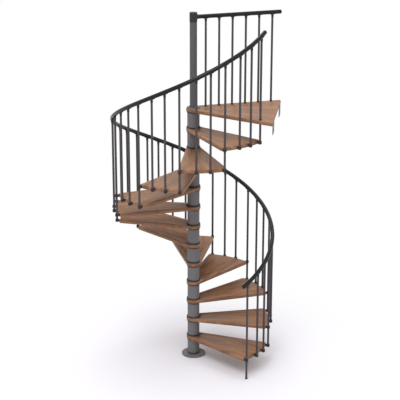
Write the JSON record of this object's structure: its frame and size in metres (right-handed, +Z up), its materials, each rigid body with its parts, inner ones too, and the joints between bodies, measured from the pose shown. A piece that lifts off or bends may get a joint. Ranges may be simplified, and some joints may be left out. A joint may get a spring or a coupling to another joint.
{
  "type": "spiral staircase",
  "caption": "Spiral staircase: wooden wedge treads on a sleeved steel column, tube balusters clipped to the treads, a black helical handrail and a guarded landing.",
  "frame": {"origin": "centre of the floor plate's underside, on the column's axis", "axes": "+Z up along the column; +X towards the landing's side, +Y away from the picture's viewpoint"},
  "size_m": [1.7579, 1.7016, 3.726],
  "materials": {
    "wood": "satin lacquer",
    "grey_steel": "satin grey coating",
    "dark_steel": "satin dark grey coating",
    "black_plastic": "matte",
    "black_rail": "semi-gloss"
  },
  "bodies": {
    "root": {"base_plate": "grey_steel", "base_collar": "black_plastic", "central_tube": "grey_steel", "column_sleeves": "grey_steel", "hub_rings": "black_plastic", "landing_disc": "grey_steel", "landing": "wood", "tread_01": "wood", "tread_02": "wood", "tread_03": "wood", "tread_04": "wood", "tread_05": "wood", "tread_06": "wood", "tread_07": "wood", "tread_08": "wood", "tread_09": "wood", "tread_10": "wood", "tread_11": "wood", "tread_12": "wood", "balusters_01": "dark_steel", "balusters_02": "dark_steel", "balusters_03": "dark_steel", "balusters_04": "dark_steel", "balusters_05": "dark_steel", "balusters_06": "dark_steel", "balusters_07": "dark_steel", "balusters_08": "dark_steel", "balusters_09": "dark_steel", "balusters_10": "dark_steel", "balusters_11": "dark_steel", "balusters_12": "dark_steel", "balusters_13": "dark_steel", "leg_foot": "black_plastic", "landing_ring": "black_plastic", "front_clips": "black_plastic", "end_clips": "black_plastic", "rail_sockets": "black_plastic", "handrail": "black_rail", "landing_balusters": "dark_steel", "landing_foot_sockets": "black_plastic", "landing_rail_sockets": "black_plastic", "landing_rail": "black_rail", "post_cap": "black_plastic", "landing_brackets": "grey_steel"}
  },
  "joints": []
}
